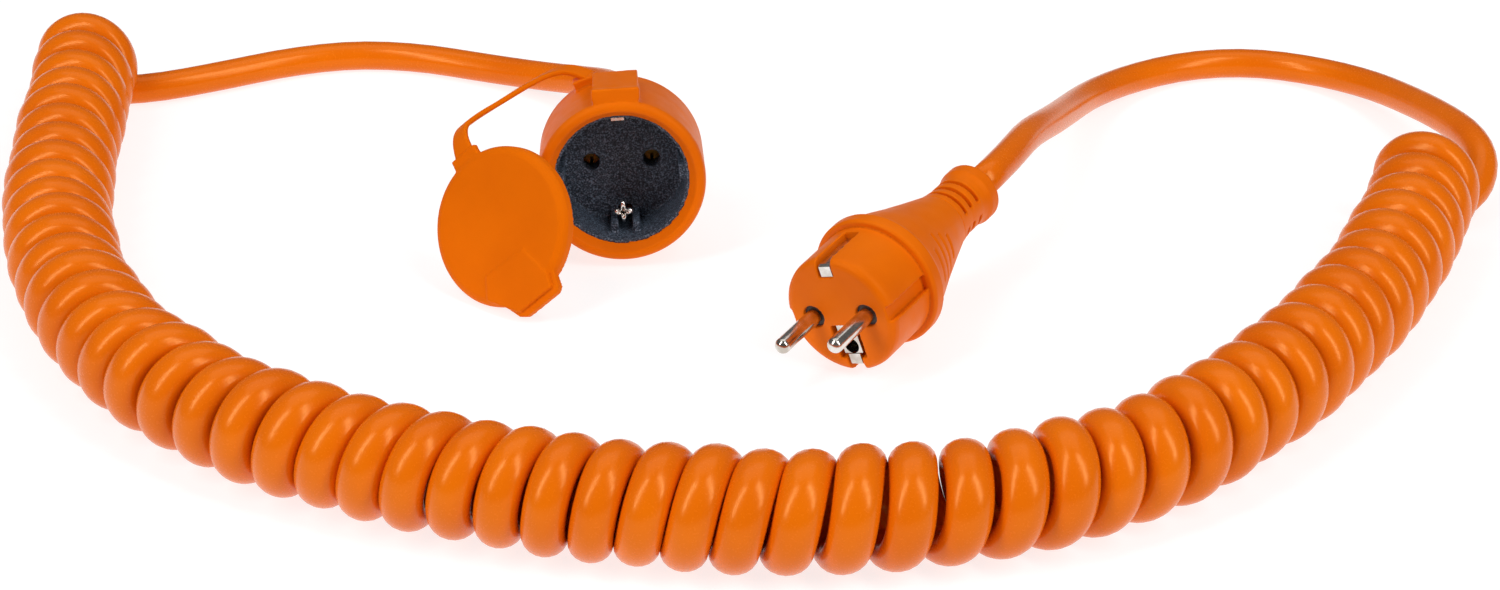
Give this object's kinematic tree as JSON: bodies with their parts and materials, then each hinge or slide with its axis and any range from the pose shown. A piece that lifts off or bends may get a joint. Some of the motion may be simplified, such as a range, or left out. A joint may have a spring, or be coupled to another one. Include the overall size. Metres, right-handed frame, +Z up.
{
  "type": "coiled extension cord",
  "caption": "Coiled extension cord with an earthed two-pole plug at one end and a coupler with a tethered lid at the other.",
  "frame": {"origin": "under the middle of the coupler with its lid and strap, on the surface that the cord lies on", "axes": "+Z up; +Y from the coupler's mouth back to where its cord leaves; +X towards the plug"},
  "size_m": [0.475, 0.3451, 0.0585],
  "materials": {
    "orange_body": "satin moulded polyurethane",
    "orange_lid": "matte moulded elastomer",
    "orange_cord": "glossy polyurethane sheath",
    "black_insert": "fine spark texture",
    "nickel": "nickel plated, slightly worn",
    "brass": "bare stamped brass",
    "core_brown": "matte insulation",
    "core_blue": "matte insulation",
    "core_green_yellow": "matte insulation, green and yellow"
  },
  "bodies": {
    "cord": {"coupler_housing": "orange_body", "coupler_bend_relief": "orange_body", "socket_insert": "black_insert", "insert_cover": "black_insert", "line_contact": "brass", "neutral_contact": "brass", "earth_spring_top": "nickel", "earth_spring_bottom": "nickel", "coupler_crimps": "brass", "coupler_core_line": "core_brown", "coupler_core_neutral": "core_blue", "coupler_core_earth": "core_green_yellow", "coupler_sheath_end": "orange_cord", "lid_strap": "orange_lid", "plug_housing": "orange_body", "plug_bend_relief": "orange_body", "contact_carrier": "black_insert", "plug_pin_left": "nickel", "plug_pin_right": "nickel", "pin_collars": "black_insert", "side_contact_top": "nickel", "side_contact_bottom": "nickel", "earth_socket": "nickel", "plug_crimps": "brass", "plug_core_line": "core_brown", "plug_core_neutral": "core_blue", "plug_core_earth": "core_green_yellow", "plug_sheath_end": "orange_cord", "cord_lead_coupler": "orange_cord", "cord_coil": "orange_cord", "cord_lead_plug": "orange_cord"},
    "lid": {"lid": "orange_lid", "lid_seal": "orange_lid"}
  },
  "joints": [
    {"name": "lid_swing", "type": "hinge", "parent": "cord", "child": "lid", "pos_m": [-0.01703, -0.0026, 0.04913], "axis": [0.1647, -0.5964, 0.7856], "range_deg": [0, 57.75], "deforming": ["lid_strap"]}
  ]
}
